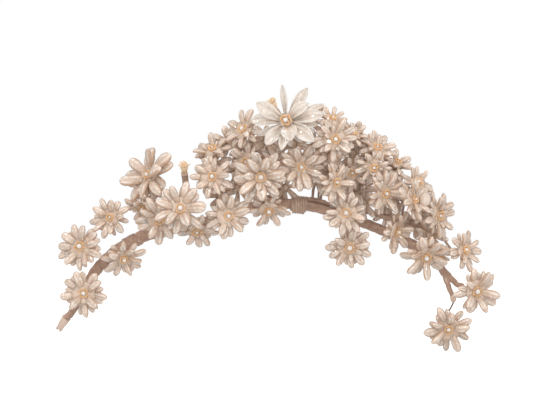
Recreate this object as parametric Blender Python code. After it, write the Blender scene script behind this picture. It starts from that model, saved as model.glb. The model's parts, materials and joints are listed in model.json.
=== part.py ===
# Wax flower crown: a bendable wire band, wrapped in paper tape, that carries sprays of
# wax-dipped flowers, one bud and two bare stamen sprigs.
# Metres, +Z up. The front faces -Y, and the origin is where the band's middle rests on the head.

import math
from typing import NamedTuple

import bmesh
import bpy
from mathutils import Matrix, Vector, geometry

MM = 0.001

# Driving dimensions, in millimetres
HALF_SPAN = 105.0
SWEEP_BACK = 9.0  # how far the tips stand behind the middle of the band
WIRE_RADIUS = 0.9
BORE_RADIUS = 1.4  # hole in the tape that the wire lies in
TAPE_RADIUS = 2.5
STEM_RADIUS = 0.65
TWIG_RADIUS = 1.5
GAP = 0.3  # between pieces that touch
BEND_GAP = 1.2  # free length of band at each bend
BINDING_WALL = 0.8
END_PLUG = 1.6  # tape that closes each end of the band

HUB_HEIGHT = 1.8
CALYX_LENGTH = 3.6
CALYX_RADIUS = 1.2

# The band's centreline seen from the front: x, z. The depth follows sweep().
BAND = [
    (-106, -58), (-101, -49), (-96, -40), (-90.5, -31), (-84, -24.5), (-76, -18.5), (-66, -13.5),
    (-52, -10), (-36, -7), (-20, -1.5), (-6, 2), (8, 2.5), (22, 0.5), (36, -4), (50, -9),
    (63, -15), (73, -20), (82, -28), (89, -35), (95, -41),
]
LEFT_BEND, RIGHT_BEND = -69.0, 77.0
BINDING = (8.0, 16.0)

# The second strand on the right, which runs above the band: x, z.
UPPER_BRANCH = [(40, 0.5), (52, -3), (64, -7.5), (76, -11), (84, -14.5)]

# Where each spray's stems are bound together behind the band's upper side: x.
KNOTS = {
    "left_spray_stems": -52.0,
    "left_fan_stems": -26.0,
    "crown_stems": 0.0,
    "right_crown_stems": 21.5,
    "right_shoulder_stems": 34.0,
}
KNOT_LENGTH = 8.0
KNOT_RADIUS = 1.6
KNOT_BACK = 3.2  # how far the knots lie behind the band's centreline

# Short pieces on stems of their own, in world millimetres
LEFT_SPRIG = [(-45, 4, -1), (-44.5, 4, 9), (-45, -3, 16), (-45.5, -8, 18.5)]
CROWN_SPRIG = [(6, 6.5, 30), (5.5, 6.5, 40), (3.5, 3, 47), (-0.5, -2, 50.5)]
SPRIG_HEAD = (4.0, 2.6)  # length, radius
FORK = [(86, -35), (88, -38), (89.8, -41.5)]
FORK_RADIUS = 1.4
BUD_RADIUS = 2.0
HANGING_WIRE_RADIUS = 0.4
HANGING_KNOT_RADIUS = 1.0

# Joint pivots: x, y, z
LARGE_FLOWER_PIVOT = (5.0, 1.0, 33.0)
LOW_FLOWER_PIVOT_X = 38.5


class Flower(NamedTuple):
    """A flower's hub, its depth counted forward from the band, the way it faces, and its stem."""

    x: float
    forward: float
    z: float
    turn: float  # degrees to the right
    lift: float  # degrees up
    roll: float
    radius: float
    petals: int
    carrier: str
    root: float  # x where the stem leaves its carrier


FLOWERS = {
    "flower_left_01": Flower(-96, 9.5, -42.5, -5, 0, 0, 12, 9, "left_arm_tape", -95),
    "flower_left_02": Flower(-97.5, 9, -19, -20, 5, 0, 12, 11, "left_arm_tape", -88),
    "flower_left_03": Flower(-82.5, 6, -4.5, -15, 5, 0, 10, 10, "left_arm_tape", -80),
    "flower_left_04": Flower(-76, 9, -24, 10, -40, 0, 11, 10, "left_arm_tape", -76),
    "flower_left_05": Flower(-63, 2, 16.5, -40, 20, 0, 14.5, 10, "left_spray_stems", -54),
    "flower_left_06": Flower(-66.5, 6, 2, -10, -50, 0, 9.4, 9, "left_spray_stems", -55),
    "flower_left_07": Flower(-57.5, 12, -5, -5, -15, 0, 11.5, 11, "left_spray_stems", -52),
    "flower_left_08": Flower(-47, 23, 0, 0, 10, 0, 13, 12, "left_spray_stems", -50),
    "flower_left_09": Flower(-39, 8, -10, 0, -45, 0, 10.5, 9, "centre_band_tape", -39),
    "flower_left_10": Flower(-31, 14, 16, -10, 5, 0, 12, 10, "left_fan_stems", -28),
    "flower_left_11": Flower(-23.5, 13, -3.5, 10, 0, 0, 11.5, 11, "left_fan_stems", -24),
    "flower_left_12": Flower(-31, 3, 29, -20, 50, 0, 10.5, 9, "left_fan_stems", -27),
    "flower_left_13": Flower(-13.5, 9, 24, -30, -10, 0, 10, 9, "left_fan_stems", -25),
    "flower_left_14": Flower(-15, 10.5, 39, -40, 30, 0, 11, 9, "left_fan_stems", -26),
    "flower_left_15": Flower(-7, 20, 16, 0, -5, 0, 14, 13, "crown_stems", -1),
    "flower_left_16": Flower(-3, 10, 0.5, 0, -45, 0, 10.5, 9, "centre_band_tape", -3),
    "flower_centre_01": Flower(13, 15, 21, 5, -5, 0, 12.5, 12, "crown_stems", 1),
    "flower_centre_02": Flower(28.5, 8, 44, 20, 45, 0, 8.5, 8, "crown_stems", 2),
    "flower_centre_03": Flower(29.5, 20, 34.5, 15, 5, 0, 12, 11, "right_crown_stems", 22),
    "flower_centre_04": Flower(29, 21, 13.5, 45, -5, 0, 10.5, 10, "right_crown_stems", 19),
    "flower_centre_05": Flower(28.5, 11, 25, 20, 20, 20, 7.5, 8, "right_crown_stems", 19),
    "flower_centre_06": Flower(39, 9, 36.5, 20, 50, 0, 8.5, 9, "right_crown_stems", 23),
    "flower_centre_07": Flower(51, 5, 29.5, 25, 45, 0, 10, 10, "right_shoulder_stems", 33),
    "flower_centre_08": Flower(54, 17.5, 8, 40, -10, 0, 11.5, 10, "right_shoulder_stems", 36),
    "flower_centre_09": Flower(49, 16, 21.5, 10, -20, 0, 9, 9, "right_shoulder_stems", 36.5),
    "flower_centre_10": Flower(38.5, 7.5, 18, 10, 0, 0, 9, 9, "right_shoulder_stems", 32),
    "flower_centre_11": Flower(35.5, 14.5, -2, 0, 0, 0, 11, 12, "centre_band_tape", 36),
    "flower_centre_12": Flower(37.5, 7, -19, 0, -15, 0, 11.5, 11, "", 0),
    "flower_right_01": Flower(60, 10, -11, 55, -15, 0, 11.5, 9, "centre_band_tape", 52),
    "flower_right_02": Flower(68.5, 18, 4, 50, 20, 0, 11, 9, "upper_branch", 62),
    "flower_right_03": Flower(71.5, 6, 12.5, 30, 30, 0, 9, 9, "upper_branch", 64),
    "flower_right_04": Flower(61.5, 1.5, 22.5, 20, 40, 0, 7.5, 9, "right_shoulder_stems", 37),
    "flower_right_05": Flower(81.5, 6.5, -3.5, 50, 0, 10, 11.5, 9, "upper_branch", 76),
    "flower_right_06": Flower(75.5, 13, -23, 15, -40, 0, 12.5, 10, "centre_band_tape", 73),
    "flower_right_07": Flower(94.5, 9.5, -21, 45, 10, 0, 10.5, 9, "upper_branch", 83),
    "flower_right_08": Flower(83.5, 5.5, -23, 10, -10, 0, 6, 8, "upper_branch", 79),
    "flower_right_09": Flower(100.5, 15, -41, 25, -10, 0, 12, 10, "right_arm_tape", 92),
}
HANGING_FLOWER = Flower(87.5, 7, -60, 0, -20, 0, 12, 10, "", 0)
LARGE_FLOWER = Flower(5.5, 26, 43.5, -5, 10, 8, 17.5, 8, "", 0)
LARGE_BACK_WHORL = Flower(5.5, 26, 43.5, -5, 10, 0, 19, 10, "", 0)

# What each bend carries with it
MOVING = {
    "left_arm_bend": ["left_arm_wire", "left_arm_tape", "flower_left_01", "flower_left_02",
                      "flower_left_03", "flower_left_04"],
    "right_arm_bend": ["right_arm_wire", "right_arm_tape", "fork_bud", "flower_right_09"],
    "hanging_flower_swing": ["hanging_wire", "hanging_flower"],
    "large_flower_nod": ["large_flower_stem", "large_flower_back", "large_flower_front",
                         "large_flower_centre"],
    "low_flower_swing": ["flower_centre_12_stem", "flower_centre_12"],
    "left_sprig_bend": ["left_stamen_sprig"],
}


class Shape(NamedTuple):
    """What a whorl of petals is cut like."""

    hub: float
    width: float
    thickness: float
    lifts: tuple  # elevation of every first and every second petal
    boss: float = 0.0
    calyx: float = 0.0


SMALL = Shape(3.1, 3.5, 1.5, (math.radians(12), math.radians(38)), boss=1.6, calyx=3.6)
LARGE_FRONT = Shape(5.6, 8.5, 2.0, (math.radians(18), math.radians(30)))
LARGE_BACK = Shape(5.6, 6.5, 1.8, (math.radians(4), math.radians(8)), calyx=3.6)

parts = bpy.data.collections.new("wax_flower_crown")
helpers = bpy.data.collections.new("helpers")


def clear_scene():
    for obj in list(bpy.data.objects):
        bpy.data.objects.remove(obj)
    bpy.context.scene.collection.children.link(parts)
    bpy.context.scene.collection.children.link(helpers)


def material(name, colour, roughness):
    made = bpy.data.materials.new(name)
    made.use_nodes = True
    shader = made.node_tree.nodes["Principled BSDF"]
    shader.inputs["Base Color"].default_value = (*colour, 1)
    shader.inputs["Roughness"].default_value = roughness
    shader.inputs["Metallic"].default_value = 1.0 if name == "steel_wire" else 0.0
    return made


def new_object(name, mesh, finish):
    obj = bpy.data.objects.new(name, mesh)
    parts.objects.link(obj)
    mesh.materials.append(finish)
    return obj


def as_helper(obj):
    """Moves an object that only a Boolean uses out of the model."""
    parts.objects.unlink(obj)
    helpers.objects.link(obj)
    obj.hide_render = True
    obj.display_type = "WIRE"


def boolean(obj, other, operation):
    modifier = obj.modifiers.new(f"{operation.lower()}_{other.name}"[:60], "BOOLEAN")
    modifier.operation = operation
    modifier.solver = "EXACT"
    modifier.object = other
    as_helper(other)


# Paths


def sweep(x):
    """The band's depth at x: both arms curve back round the head."""
    return SWEEP_BACK * (x / HALF_SPAN) ** 2


def smooth_path(points, steps=2):
    """A Catmull-Rom curve through (x, z) points, at the band's depth."""
    flat = [Vector((x, sweep(x), z)) for x, z in points]
    ends = [2 * flat[0] - flat[1], *flat, 2 * flat[-1] - flat[-2]]
    path = []
    for a, b, c, d in zip(ends, ends[1:], ends[2:], ends[3:]):
        for step in range(steps):
            t = step / steps
            path.append(
                0.5 * (2 * b + (c - a) * t + (2 * a - 5 * b + 4 * c - d) * t**2
                       + (3 * b - a - 3 * c + d) * t**3)
            )
    return [*path, flat[-1]]


BAND_PATH = smooth_path(BAND)
BRANCH_PATH = smooth_path(UPPER_BRANCH)


def point_on(path, x):
    """The point of a left-to-right path at x."""
    for a, b in zip(path, path[1:]):
        if x <= b.x or b is path[-1]:
            return a.lerp(b, (x - a.x) / (b.x - a.x))
    return path[-1]


def stretch(path, start, end):
    """The part of a path between two x values."""
    inner = [p for p in path if start + 1 < p.x < end - 1]
    return [point_on(path, start), *inner, point_on(path, end)]


def above(path, x, distance):
    """A point at right angles to the path at x, on its upper side."""
    along = (point_on(path, x + 1) - point_on(path, x - 1)).normalized()
    return point_on(path, x) + distance * Vector((-along.z, 0, along.x)).normalized()


def tube(name, path, radius, finish, sides=6, radii=None):
    """A closed tube along a path, as a mesh that Booleans can use. radii scales it point by point."""
    curve = bpy.data.curves.new(name, "CURVE")
    curve.dimensions = "3D"
    curve.bevel_depth = radius * MM
    curve.bevel_resolution = (sides - 4) // 2
    curve.use_fill_caps = True
    spline = curve.splines.new("POLY")
    spline.points.add(len(path) - 1)
    for index, (point, place) in enumerate(zip(spline.points, path)):
        point.co = (*(place * MM), 1)
        point.radius = 1.0 if radii is None else radii[index]
    source = bpy.data.objects.new(name + "_curve", curve)
    parts.objects.link(source)
    evaluated = source.evaluated_get(bpy.context.evaluated_depsgraph_get())
    mesh = bpy.data.meshes.new_from_object(evaluated)
    bpy.data.objects.remove(source)
    welded = bmesh.new()
    welded.from_mesh(mesh)
    bmesh.ops.remove_doubles(welded, verts=welded.verts, dist=1e-6)
    bmesh.ops.recalc_face_normals(welded, faces=welded.faces)
    welded.to_mesh(mesh)
    welded.free()
    mesh.materials.clear()
    mesh.shade_smooth()
    return new_object(name, mesh, finish)


# Flowers


def facing(flower):
    """The flower's own frame: +Z is the way it faces, and the origin is the hub's middle."""
    place = Vector((flower.x, sweep(flower.x) - flower.forward, flower.z)) * MM
    return (
        Matrix.Translation(place)
        @ Matrix.Rotation(math.radians(flower.turn), 4, "Z")
        @ Matrix.Rotation(math.radians(90 - flower.lift), 4, "X")
        @ Matrix.Rotation(math.radians(flower.roll), 4, "Z")
    )


def neck(flower, behind=0.0):
    """The point behind the calyx where the stem begins, in millimetres."""
    back = HUB_HEIGHT / 2 + CALYX_LENGTH + GAP + behind
    return facing(flower) @ Vector((0, 0, -back * MM)) / MM


def pull(bm, face, centre, across, upward, width, thickness):
    """Extrudes a face and sets its four corners round a new centre."""
    old = face.calc_center_median()
    made = bmesh.ops.extrude_discrete_faces(bm, faces=[face])["faces"][0]
    for vert in made.verts:
        offset = vert.co - old
        side = math.copysign(width / 2, offset.dot(across))
        height = math.copysign(thickness / 2, offset.dot(upward))
        vert.co = centre + side * across + height * upward
    return made


def grow_petal(bm, face, lift, reach, width, thickness):
    """One petal on a side face of the hub: widest past its middle, narrow at the tip."""
    outward = face.normal.copy()
    across = Vector((-outward.y, outward.x, 0))
    along = math.cos(lift) * outward + math.sin(lift) * Vector((0, 0, 1))
    upward = across.cross(along)
    if upward.z < 0:
        upward = -upward
    root = face.calc_center_median()
    for share, wide, thick in ((0.62, 1.0, 1.0), (1.0, 0.42, 0.6)):
        centre = root + along * reach * share * MM
        size = (width * wide * MM, thickness * thick * MM)
        face = pull(bm, face, centre, across, upward, *size)


def push_cap(bm, up, depth, radius):
    """Draws the hub's upper or lower cap out into a boss or a calyx."""
    cap = max(bm.faces, key=lambda f: (f.normal.z if up else -f.normal.z) * len(f.verts))
    made = bmesh.ops.extrude_discrete_faces(bm, faces=[cap])["faces"][0]
    for vert in made.verts:
        flat = Vector((vert.co.x, vert.co.y, 0)).normalized() * radius * MM
        vert.co = flat + Vector((0, 0, vert.co.z + (depth if up else -depth) * MM))


def corolla(name, flower, finish, shape=SMALL, depth=0.0):
    """A whorl of petals round a hub, in one piece. depth sets it behind the flower's middle."""
    bm = bmesh.new()
    size = shape.hub * MM
    bmesh.ops.create_cone(
        bm, cap_ends=True, segments=flower.petals, radius1=size, radius2=size, depth=HUB_HEIGHT * MM
    )
    if shape.boss:
        push_cap(bm, True, shape.boss, shape.hub * 0.55)
    if shape.calyx:
        push_cap(bm, False, shape.calyx, CALYX_RADIUS)
    bm.normal_update()
    sides = [f for f in bm.faces if len(f.verts) == 4 and abs(f.normal.z) < 0.01]
    sides.sort(key=lambda f: math.atan2(f.normal.y, f.normal.x))
    reach = flower.radius / math.cos(shape.lifts[0]) - shape.hub
    for index, face in enumerate(sides):
        grow_petal(bm, face, shape.lifts[index % 2], reach, shape.width, shape.thickness)
    bmesh.ops.triangulate(bm, faces=bm.faces)
    mesh = bpy.data.meshes.new(name)
    bm.to_mesh(mesh)
    bm.free()
    obj = new_object(name, mesh, finish)
    obj.matrix_world = facing(flower) @ Matrix.Translation((0, 0, -depth * MM))
    return obj


def turned(name, profile, finish, place, segments=12):
    """A solid of revolution about its own Z axis, from (radius, height) points on the axis to it."""
    bm = bmesh.new()
    verts = [bm.verts.new((radius * MM, 0, height * MM)) for radius, height in profile]
    edges = [bm.edges.new(pair) for pair in zip(verts, verts[1:])]
    bmesh.ops.spin(
        bm, geom=[*verts, *edges], axis=(0, 0, 1), cent=(0, 0, 0), angle=math.tau, steps=segments
    )
    bmesh.ops.remove_doubles(bm, verts=bm.verts, dist=1e-6)
    bmesh.ops.recalc_face_normals(bm, faces=bm.faces)
    mesh = bpy.data.meshes.new(name)
    bm.to_mesh(mesh)
    bm.free()
    mesh.shade_smooth()
    obj = new_object(name, mesh, finish)
    obj.matrix_world = place
    return obj


def stem_path(flower, start, rise):
    """From a carrier, out along rise, and into the flower's back."""
    end = neck(flower)
    back = (neck(flower, 1.0) - end).normalized()
    reach = (end - start).length
    return geometry.interpolate_bezier(
        start, start + rise * reach * 0.45, end + back * reach * 0.3, end, 6
    )


def make_stems(carrier, body, path, finish, offset=None):
    """Joins the stems of every flower on this carrier to it, at an offset from its centreline.

    From the band's tape a stem leaves at the front, or at the top if its flower stands high.
    """
    for name, flower in FLOWERS.items():
        if flower.carrier != carrier:
            continue
        start = point_on(path, flower.root)
        rise = Vector((0, 0.25, 1)).normalized()
        if offset is None:
            high = neck(flower).z - start.z > 8
            rise = rise if high else Vector((0, -1, 0))
            start = start + rise * (BORE_RADIUS + TAPE_RADIUS) / 2
        else:
            start = start + offset
        stem = tube(f"{name}_stem", stem_path(flower, start, rise), STEM_RADIUS, finish)
        boolean(body, stem, "UNION")


def make_band(steel, paper):
    """Three lengths of taped wire that meet at the two bends."""
    half = BEND_GAP / 2
    lengths = {
        "left_arm": (BAND[0][0], LEFT_BEND - half, END_PLUG, 0.0),
        "centre_band": (LEFT_BEND + half, RIGHT_BEND - half, 0.0, 0.0),
        "right_arm": (RIGHT_BEND + half, BAND[-1][0], 0.0, END_PLUG),
    }
    for name, (start, end, left_plug, right_plug) in lengths.items():
        core = stretch(BAND_PATH, start + left_plug + GAP, end - right_plug - GAP)
        tube(name + "_wire", core, WIRE_RADIUS, steel)
        tape = tube(name + "_tape", stretch(BAND_PATH, start, end), TAPE_RADIUS, paper, 8)
        bore = stretch(BAND_PATH, start + left_plug, end - right_plug)
        if not left_plug:
            bore.insert(0, bore[0] + (bore[0] - bore[1]).normalized())
        if not right_plug:
            bore.append(bore[-1] + (bore[-1] - bore[-2]).normalized())
        boolean(tape, tube(name + "_bore", bore, BORE_RADIUS, paper), "DIFFERENCE")
        make_stems(name + "_tape", tape, BAND_PATH, paper)
        if name == "right_arm":
            fork = [Vector((x, sweep(x), z)) for x, z in FORK]
            boolean(tape, tube("fork", fork, FORK_RADIUS, paper), "UNION")


def make_binding(paper):
    """The sleeve of thread and tape over the middle of the band."""
    path = stretch(BAND_PATH, *BINDING)
    inner = TAPE_RADIUS + GAP
    sleeve = tube("centre_binding", path, inner + BINDING_WALL, paper, 10)
    longer = stretch(BAND_PATH, BINDING[0] - 2, BINDING[1] + 2)
    boolean(sleeve, tube("binding_bore", longer, inner, paper, 10), "DIFFERENCE")


def make_sprays(paper):
    """The bound stems of each spray, and the upper branch."""
    offset = Vector((0, KNOT_BACK, TAPE_RADIUS + KNOT_RADIUS - 0.6))
    for name, x in KNOTS.items():
        path = [point_on(BAND_PATH, x + step * KNOT_LENGTH / 2) + offset for step in (-1, 0, 1)]
        knot = tube(name, path, KNOT_RADIUS, paper)
        make_stems(name, knot, BAND_PATH, paper, offset)
    radii = [1 - 0.3 * index / (len(BRANCH_PATH) - 1) for index in range(len(BRANCH_PATH))]
    branch = tube("upper_branch", BRANCH_PATH, TWIG_RADIUS, paper, 6, radii)
    make_stems("upper_branch", branch, BRANCH_PATH, paper, Vector())


def sprig(name, points, finish):
    """A bare stem that ends in a tuft of stamens, drawn as a small flared head."""
    path = [Vector(point) for point in points]
    path = geometry.interpolate_bezier(*path, 8)
    end = path[-1] + (path[-1] - path[-2]).normalized() * SPRIG_HEAD[0]
    swell = SPRIG_HEAD[1] / STEM_RADIUS
    radii = [1.0] * 8 + [swell]
    return tube(name, [*path, end], STEM_RADIUS, finish, 6, radii)


def make_small_flowers(wax):
    for name, flower in FLOWERS.items():
        corolla(name, flower, wax)
    corolla("hanging_flower", HANGING_FLOWER, wax)


def make_large_flower(wax, paper, gold):
    """Two whorls of broad petals with a stamen ring and a pearl, on a bendable stem."""
    corolla("large_flower_front", LARGE_FLOWER, wax, LARGE_FRONT)
    corolla("large_flower_back", LARGE_BACK_WHORL, wax, LARGE_BACK, HUB_HEIGHT + GAP)
    base = HUB_HEIGHT / 2 + GAP
    profile = [(0, base), (3.6, base), (4.4, base + 2.2), (2.4, base + 2.4), (1.6, base + 3.6),
               (0, base + 4.2)]
    turned("large_flower_centre", profile, gold, facing(LARGE_FLOWER))
    low = Vector(LARGE_FLOWER_PIVOT)
    end = neck(LARGE_FLOWER, HUB_HEIGHT + GAP)
    back = (neck(LARGE_FLOWER, 9.0) - end).normalized()
    path = geometry.interpolate_bezier(low, low + Vector((0, 1, 5)), end + back * 7, end, 7)
    tube("large_flower_stem", path, STEM_RADIUS * 1.4, paper)


def make_low_flower_stem(paper):
    """The stem under the band that lets one flower swing."""
    flower = FLOWERS["flower_centre_12"]
    top = point_on(BAND_PATH, LOW_FLOWER_PIVOT_X) - Vector((0, 0, TAPE_RADIUS + GAP))
    tube("flower_centre_12_stem", stem_path(flower, top, Vector((0, 0, -1))), STEM_RADIUS, paper)


def make_hanging_wire(steel, wax):
    """A bud at the fork's end, with a fine wire and its knot below it."""
    tip = Vector((FORK[-1][0], sweep(FORK[-1][0]), FORK[-1][1]))
    bud_place = tip + Vector((0.6, 0, -FORK_RADIUS - BUD_RADIUS - GAP))
    profile = [(0, -BUD_RADIUS), (BUD_RADIUS * 0.7, -BUD_RADIUS * 0.7), (BUD_RADIUS, 0),
               (BUD_RADIUS * 0.7, BUD_RADIUS * 0.7), (0, BUD_RADIUS)]
    turned("fork_bud", profile, wax, Matrix.Translation(bud_place * MM), 8)
    top = bud_place - Vector((0, 0, BUD_RADIUS + GAP))
    end = neck(HANGING_FLOWER)
    knot = end + Vector((0, 1.5, 5))
    path = [top, (top + knot) / 2, knot + Vector((0, 0, 1.4)), knot, knot - Vector((0, 0.4, 1.4)), end]
    swell = HANGING_KNOT_RADIUS / HANGING_WIRE_RADIUS
    tube("hanging_wire", path, HANGING_WIRE_RADIUS, steel, 6, [1, 1, 1, swell, 1, 1])
    return top


def hang_on_pivots(pivots):
    """Parents every moving piece to an empty on its joint's axis."""
    for joint, pieces in MOVING.items():
        empty = bpy.data.objects.new(joint, None)
        empty.empty_display_size = 5 * MM
        empty.location = pivots[joint] * MM
        parts.objects.link(empty)
        bpy.context.view_layer.update()
        for name in pieces:
            piece = bpy.data.objects[name]
            piece.parent = empty
            piece.matrix_parent_inverse = empty.matrix_world.inverted()
    swing = bpy.data.objects["hanging_flower_swing"]
    swing.parent = bpy.data.objects["right_arm_bend"]
    swing.matrix_parent_inverse = swing.parent.matrix_world.inverted()


def main():
    clear_scene()
    steel = material("steel_wire", (0.45, 0.42, 0.4), 0.35)
    paper = material("paper_tape", (0.5, 0.34, 0.25), 0.85)
    wax = material("wax", (0.8, 0.7, 0.62), 0.35)
    gold = material("stamens", (0.75, 0.42, 0.15), 0.7)
    make_band(steel, paper)
    make_binding(paper)
    make_sprays(paper)
    make_small_flowers(wax)
    make_large_flower(wax, paper, gold)
    make_low_flower_stem(paper)
    sprig("left_stamen_sprig", LEFT_SPRIG, gold)
    sprig("crown_stamen_sprig", CROWN_SPRIG, gold)
    wire_top = make_hanging_wire(steel, wax)
    below = Vector((0, 0, -TAPE_RADIUS))
    hang_on_pivots({
        "left_arm_bend": point_on(BAND_PATH, LEFT_BEND),
        "right_arm_bend": point_on(BAND_PATH, RIGHT_BEND),
        "hanging_flower_swing": wire_top,
        "large_flower_nod": Vector(LARGE_FLOWER_PIVOT),
        "low_flower_swing": point_on(BAND_PATH, LOW_FLOWER_PIVOT_X) + below,
        "left_sprig_bend": Vector(LEFT_SPRIG[0]),
    })


main()
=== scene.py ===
import json
import math
import random

import bmesh
import bpy
import numpy as np
from mathutils import Matrix, Vector


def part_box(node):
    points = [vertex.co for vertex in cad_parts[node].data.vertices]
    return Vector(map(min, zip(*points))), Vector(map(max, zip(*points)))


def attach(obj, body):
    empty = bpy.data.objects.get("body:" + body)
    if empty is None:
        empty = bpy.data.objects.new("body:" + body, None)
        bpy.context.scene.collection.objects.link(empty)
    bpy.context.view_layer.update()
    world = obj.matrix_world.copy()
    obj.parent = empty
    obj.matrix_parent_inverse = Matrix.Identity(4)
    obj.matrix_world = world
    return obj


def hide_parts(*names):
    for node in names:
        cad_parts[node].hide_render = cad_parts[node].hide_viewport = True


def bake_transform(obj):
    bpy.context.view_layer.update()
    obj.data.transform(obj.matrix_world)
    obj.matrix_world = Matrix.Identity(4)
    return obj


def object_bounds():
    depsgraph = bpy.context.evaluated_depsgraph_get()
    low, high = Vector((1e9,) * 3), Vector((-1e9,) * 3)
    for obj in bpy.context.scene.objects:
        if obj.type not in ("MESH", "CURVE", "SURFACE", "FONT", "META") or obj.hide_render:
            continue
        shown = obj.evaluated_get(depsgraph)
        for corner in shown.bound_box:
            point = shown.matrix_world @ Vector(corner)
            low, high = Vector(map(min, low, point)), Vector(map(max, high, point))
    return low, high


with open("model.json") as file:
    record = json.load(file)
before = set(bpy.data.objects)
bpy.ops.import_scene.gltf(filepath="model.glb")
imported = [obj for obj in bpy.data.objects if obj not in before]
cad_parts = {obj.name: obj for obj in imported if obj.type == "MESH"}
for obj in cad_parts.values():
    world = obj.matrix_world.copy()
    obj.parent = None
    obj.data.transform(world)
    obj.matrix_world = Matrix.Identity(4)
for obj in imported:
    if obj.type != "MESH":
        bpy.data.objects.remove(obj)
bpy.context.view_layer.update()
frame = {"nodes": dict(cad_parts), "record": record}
nodes = frame["nodes"]
bodyOf = {n: body for body, names in frame["record"]["behaviour"]["bodies"].items() for n in names}
spares = []  # shapes that only feed the node trees


# node tree helpers

def addNode(tree, kind, values=None, **settings):
    made = tree.nodes.new(kind)
    for key, value in settings.items():
        setattr(made, key, value)
    for key, value in (values or {}).items():
        if isinstance(value, bpy.types.NodeSocket):
            tree.links.new(value, made.inputs[key])
        else:
            made.inputs[key].default_value = value
    return made


def sumOf(tree, operation, a, b=0.0, c=0.0):
    return addNode(tree, "ShaderNodeMath", {0: a, 1: b, 2: c}, operation=operation).outputs[0]


def times(tree, a, b):
    return sumOf(tree, "MULTIPLY", a, b)


def plus(tree, a, b):
    return sumOf(tree, "ADD", a, b)


def vectorOf(tree, x, y, z=0.0):
    return addNode(tree, "ShaderNodeCombineXYZ", {0: x, 1: y, 2: z}).outputs[0]


def onCircle(tree, turn, radius):
    return times(tree, sumOf(tree, "COSINE", turn), radius), times(tree, sumOf(tree, "SINE", turn), radius)


def scaled(tree, vector, amount):
    return addNode(tree, "ShaderNodeVectorMath", {0: vector, "Scale": amount}, operation="SCALE").outputs[0]


def stored(tree, name):
    return addNode(tree, "GeometryNodeInputNamedAttribute", {"Name": name}, data_type="FLOAT").outputs[0]


def store(tree, shape, name, value, domain="POINT"):
    return addNode(tree, "GeometryNodeStoreNamedAttribute", {"Geometry": shape, "Name": name, "Value": value},
                   data_type="FLOAT", domain=domain).outputs[0]


def rolled(tree, seed, low, high, shift):
    # a random value for each point; the shift keeps one value apart from the next
    return addNode(tree, "FunctionNodeRandomValue", {"Seed": plus(tree, seed, shift), 2: low, 3: high},
                   data_type="FLOAT").outputs[1]


def newTree(name, inputs, outputs=(("Geometry", "Geometry"),), kind="GeometryNodeTree"):
    tree = bpy.data.node_groups.new(name, kind)
    for inOut, pairs in (("INPUT", inputs), ("OUTPUT", outputs)):
        for socketName, socketKind in pairs:
            tree.interface.new_socket(name=socketName, in_out=inOut, socket_type="NodeSocket" + socketKind)
    return tree, tree.nodes.new("NodeGroupInput").outputs, tree.nodes.new("NodeGroupOutput").inputs


def finishTree(tree, shape, material, end):
    real = addNode(tree, "GeometryNodeRealizeInstances", {"Geometry": shape})
    done = addNode(tree, "GeometryNodeSetMaterial", {"Geometry": real.outputs[0], "Material": material})
    tree.links.new(done.outputs[0], end[0])
    return tree


def runTree(source, tree, values):
    # runs one tree on a source object and gives back a plain mesh
    modifier = source.modifiers.new("tree", "NODES")
    modifier.node_group = tree
    for item in tree.interface.items_tree:
        if item.in_out == "INPUT" and item.name in values:
            modifier[item.identifier] = values[item.name]
    bpy.context.view_layer.update()
    graph = bpy.context.evaluated_depsgraph_get()
    mesh = bpy.data.meshes.new_from_object(source.evaluated_get(graph))
    bpy.data.objects.remove(source)
    return mesh


def addObject(name, data):
    obj = bpy.data.objects.new(name, data)
    bpy.context.scene.collection.objects.link(obj)
    return obj


def addPiece(name, mesh, body, replaced=()):
    obj = addObject(name, mesh)
    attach(obj, body)
    if replaced:
        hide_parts(*replaced)
    return obj


def meshFrom(bm, name, material=None):
    mesh = bpy.data.meshes.new(name)
    bm.to_mesh(mesh)
    bm.free()
    mesh.shade_smooth()
    if material:
        mesh.materials.append(material)
    return mesh


def skin(bm, rings, sides):
    # joins each ring of corners to the next; a ring of one corner closes an end
    for a, b in zip(rings, rings[1:]):
        for k in range(sides):
            n = (k + 1) % sides
            if len(a) == 1:
                bm.faces.new((a[0], b[k], b[n]))
            elif len(b) == 1:
                bm.faces.new((a[k], b[0], a[n]))
            else:
                bm.faces.new((a[k], b[k], b[n], a[n]))
    bmesh.ops.recalc_face_normals(bm, faces=bm.faces)


def middleOf(name):
    low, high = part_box(name)
    return (low + high) / 2


def joinMeshes(name, meshes):
    # one mesh from several, with their materials and attributes kept
    objs = [addObject("part", m) for m in meshes]
    with bpy.context.temp_override(active_object=objs[0], selected_editable_objects=objs):
        bpy.ops.object.join()
    mesh = objs[0].data
    bpy.data.objects.remove(objs[0])
    mesh.name = name
    return mesh


# materials

def coloured(r, g, b):
    return (r, g, b, 1.0)


def mixColour(tree, factor, a, b, blend="MIX"):
    return addNode(tree, "ShaderNodeMix", {0: factor, 6: a, 7: b}, data_type="RGBA",
                   blend_type=blend).outputs[2]


def ramp(tree, value, low, high, toLow=0.0, toHigh=1.0):
    made = addNode(tree, "ShaderNodeMapRange", {0: value, 1: low, 2: high, 3: toLow, 4: toHigh},
                   interpolation_type="SMOOTHSTEP")
    return made.outputs[0]


def attribute(tree, name):
    return addNode(tree, "ShaderNodeAttribute", attribute_name=name).outputs["Fac"]


def noise(tree, scale, detail=3.0, rough=0.55):
    where = addNode(tree, "ShaderNodeTexCoord").outputs["Object"]
    return addNode(tree, "ShaderNodeTexNoise", {"Vector": where, "Scale": scale, "Detail": detail,
                                               "Roughness": rough}).outputs["Fac"]


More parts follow.
